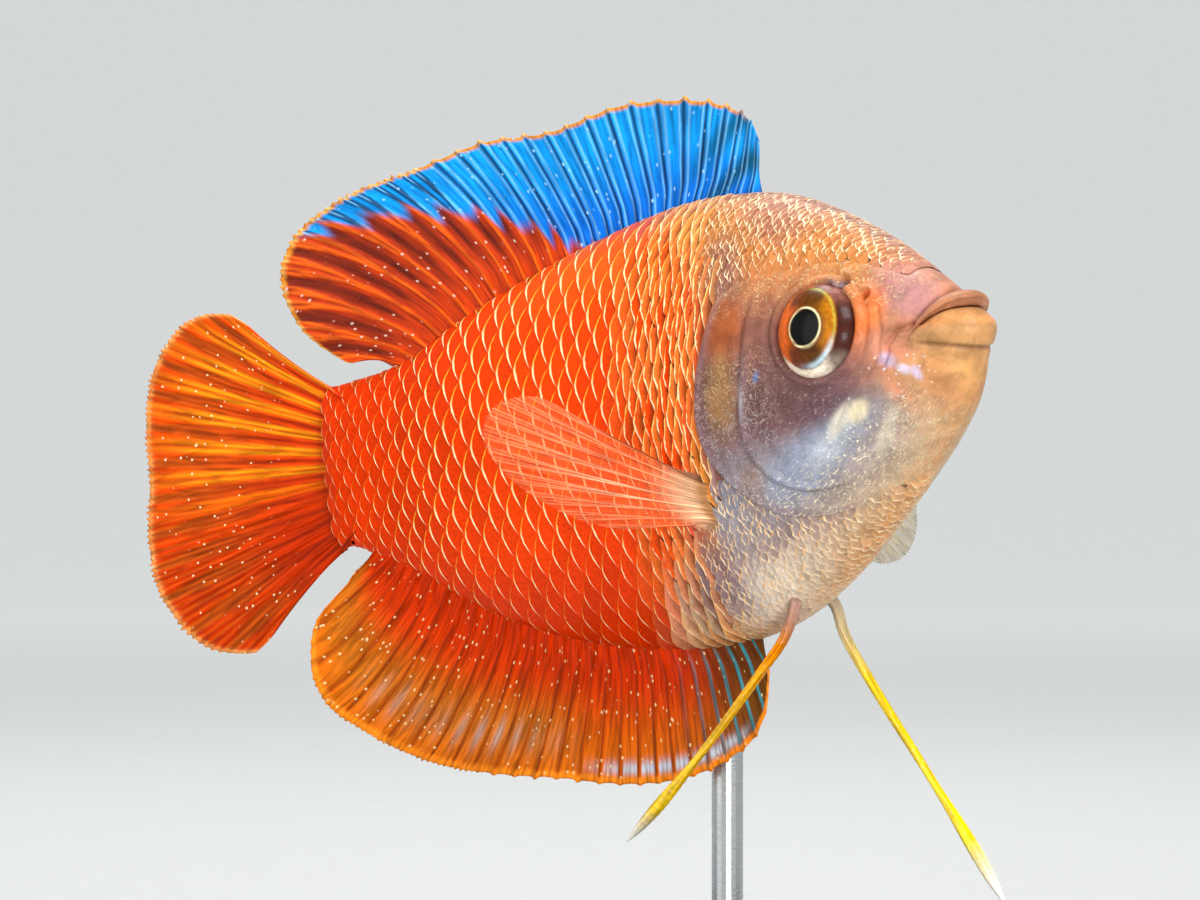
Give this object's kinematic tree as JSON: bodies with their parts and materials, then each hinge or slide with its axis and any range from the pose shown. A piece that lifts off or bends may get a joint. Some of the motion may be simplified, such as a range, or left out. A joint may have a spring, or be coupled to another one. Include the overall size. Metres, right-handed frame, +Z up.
{
  "type": "dwarf gourami model on stand",
  "caption": "Life-size still model of a male flame-red dwarf gourami swimming, body bent to its right, fins spread, on a plain display stand.",
  "frame": {"origin": "centre of the underside of the stand's base plate", "axes": "+X the way the fish faces, +Y its left, +Z up"},
  "size_m": [0.0755, 0.04, 0.0591],
  "materials": {
    "head_skin": "tan to mauve-brown scaled skin, cast and painted, wet gloss",
    "cover_skin": "silvery mauve gill cover, wet gloss",
    "eye": "dark iris with a fine gold ring under a clear gloss",
    "flank_scales": "orange-red scales with pale yellow edges, wet gloss",
    "stalk_scales": "deep orange-red scales, wet gloss",
    "dorsal_web": "azure fin web with pale rays and an orange margin, orange-red rear lobe",
    "anal_web": "orange-red fin web with pale dots",
    "tail_web": "orange fin web with yellow-orange rays and pale dots",
    "pectoral_web": "thin clear salmon web with cream rays",
    "pelvic_feeler": "mauve root, orange to yellow thread, white tip",
    "stand_lacquer": "black satin lacquer",
    "stand_steel": "brushed round rod"
  },
  "bodies": {
    "root": {"head": "head_skin", "gill_cover_right": "cover_skin", "gill_cover_left": "cover_skin", "eye_right": "eye", "eye_left": "eye", "torso": "flank_scales", "tail_stalk": "stalk_scales", "dorsal_fin": "dorsal_web", "anal_fin": "anal_web", "caudal_fin": "tail_web", "pectoral_fin_right": "pectoral_web", "pectoral_fin_left": "pectoral_web", "pelvic_fin_right": "pelvic_feeler", "pelvic_fin_left": "pelvic_feeler", "stand_base": "stand_lacquer", "stand_rod": "stand_steel"}
  },
  "joints": []
}
